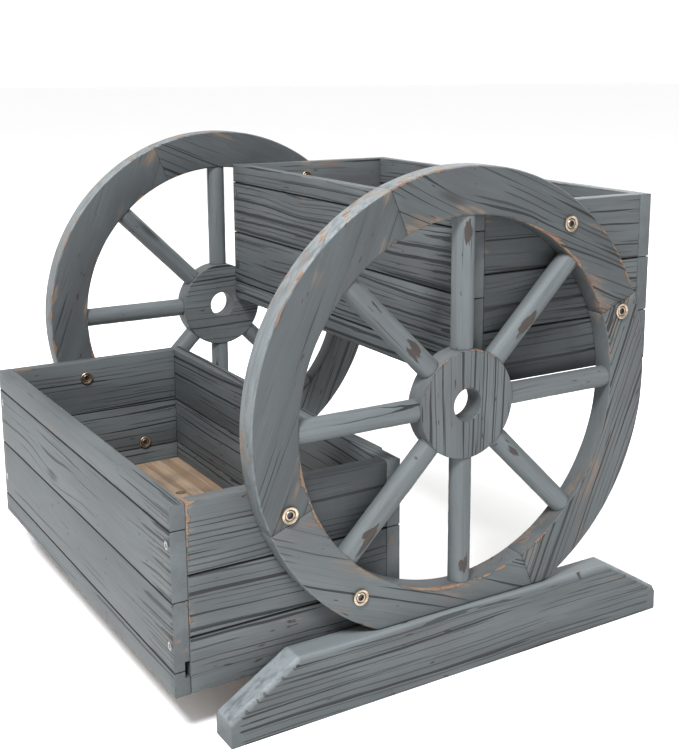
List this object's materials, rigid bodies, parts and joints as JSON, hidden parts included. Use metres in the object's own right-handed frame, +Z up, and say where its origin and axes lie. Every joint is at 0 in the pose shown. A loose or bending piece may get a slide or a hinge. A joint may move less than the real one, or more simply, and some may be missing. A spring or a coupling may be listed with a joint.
{
  "type": "wagon wheel planter",
  "caption": "Two-tier wooden flower planter: a low front box and a raised rear box bolted between two spoked wagon wheels that stand on sloped runners.",
  "frame": {"origin": "on the ground, at the middle of the overall footprint, under the wheels' axis and 20 mm in front of it", "axes": "+X to the right-hand wheel along the wheels' axis, -Y to the front where the low box is, +Z up"},
  "size_m": [0.588, 0.54, 0.493],
  "materials": {
    "painted_board": "distressed blue-grey paint over softwood boards",
    "painted_rim": "distressed blue-grey paint, worn to bare wood at the edges",
    "painted_hub": "distressed blue-grey paint",
    "painted_dowel": "distressed blue-grey paint, chipped",
    "painted_runner": "distressed blue-grey paint with dark grain",
    "bare_floor": "bare softwood, stained by soil",
    "bronzed_steel": "bronze-plated, satin",
    "zinc_steel": "zinc-plated"
  },
  "bodies": {
    "root": {"cap_nuts": "bronzed_steel", "connector_bolts": "bronzed_steel", "left_felloe_front_bottom": "painted_rim", "left_felloe_front_top": "painted_rim", "left_felloe_rear_bottom": "painted_rim", "left_felloe_rear_top": "painted_rim", "left_hub": "painted_hub", "left_runner": "painted_runner", "left_spoke_1": "painted_dowel", "left_spoke_2": "painted_dowel", "left_spoke_3": "painted_dowel", "left_spoke_4": "painted_dowel", "left_spoke_5": "painted_dowel", "left_spoke_6": "painted_dowel", "left_spoke_7": "painted_dowel", "left_spoke_8": "painted_dowel", "lower_floor": "bare_floor", "lower_front_board_bottom": "painted_board", "lower_front_board_lower": "painted_board", "lower_front_board_top": "painted_board", "lower_front_board_upper": "painted_board", "lower_left_end_board_bottom": "painted_board", "lower_left_end_board_middle": "painted_board", "lower_left_end_board_top": "painted_board", "lower_rear_board_bottom": "painted_board", "lower_rear_board_middle": "painted_board", "lower_rear_board_top": "painted_board", "lower_right_end_board_bottom": "painted_board", "lower_right_end_board_middle": "painted_board", "lower_right_end_board_top": "painted_board", "right_felloe_front_bottom": "painted_rim", "right_felloe_front_top": "painted_rim", "right_felloe_rear_bottom": "painted_rim", "right_felloe_rear_top": "painted_rim", "right_hub": "painted_hub", "right_runner": "painted_runner", "right_spoke_1": "painted_dowel", "right_spoke_2": "painted_dowel", "right_spoke_3": "painted_dowel", "right_spoke_4": "painted_dowel", "right_spoke_5": "painted_dowel", "right_spoke_6": "painted_dowel", "right_spoke_7": "painted_dowel", "right_spoke_8": "painted_dowel", "upper_floor": "bare_floor", "upper_front_board_bottom": "painted_board", "upper_front_board_lower": "painted_board", "upper_front_board_top": "painted_board", "upper_front_board_upper": "painted_board", "upper_left_end_board_bottom": "painted_board", "upper_left_end_board_middle": "painted_board", "upper_left_end_board_top": "painted_board", "upper_rear_board_bottom": "painted_board", "upper_rear_board_middle": "painted_board", "upper_rear_board_top": "painted_board", "upper_right_end_board_bottom": "painted_board", "upper_right_end_board_middle": "painted_board", "upper_right_end_board_top": "painted_board", "wood_screws": "zinc_steel"}
  },
  "joints": []
}
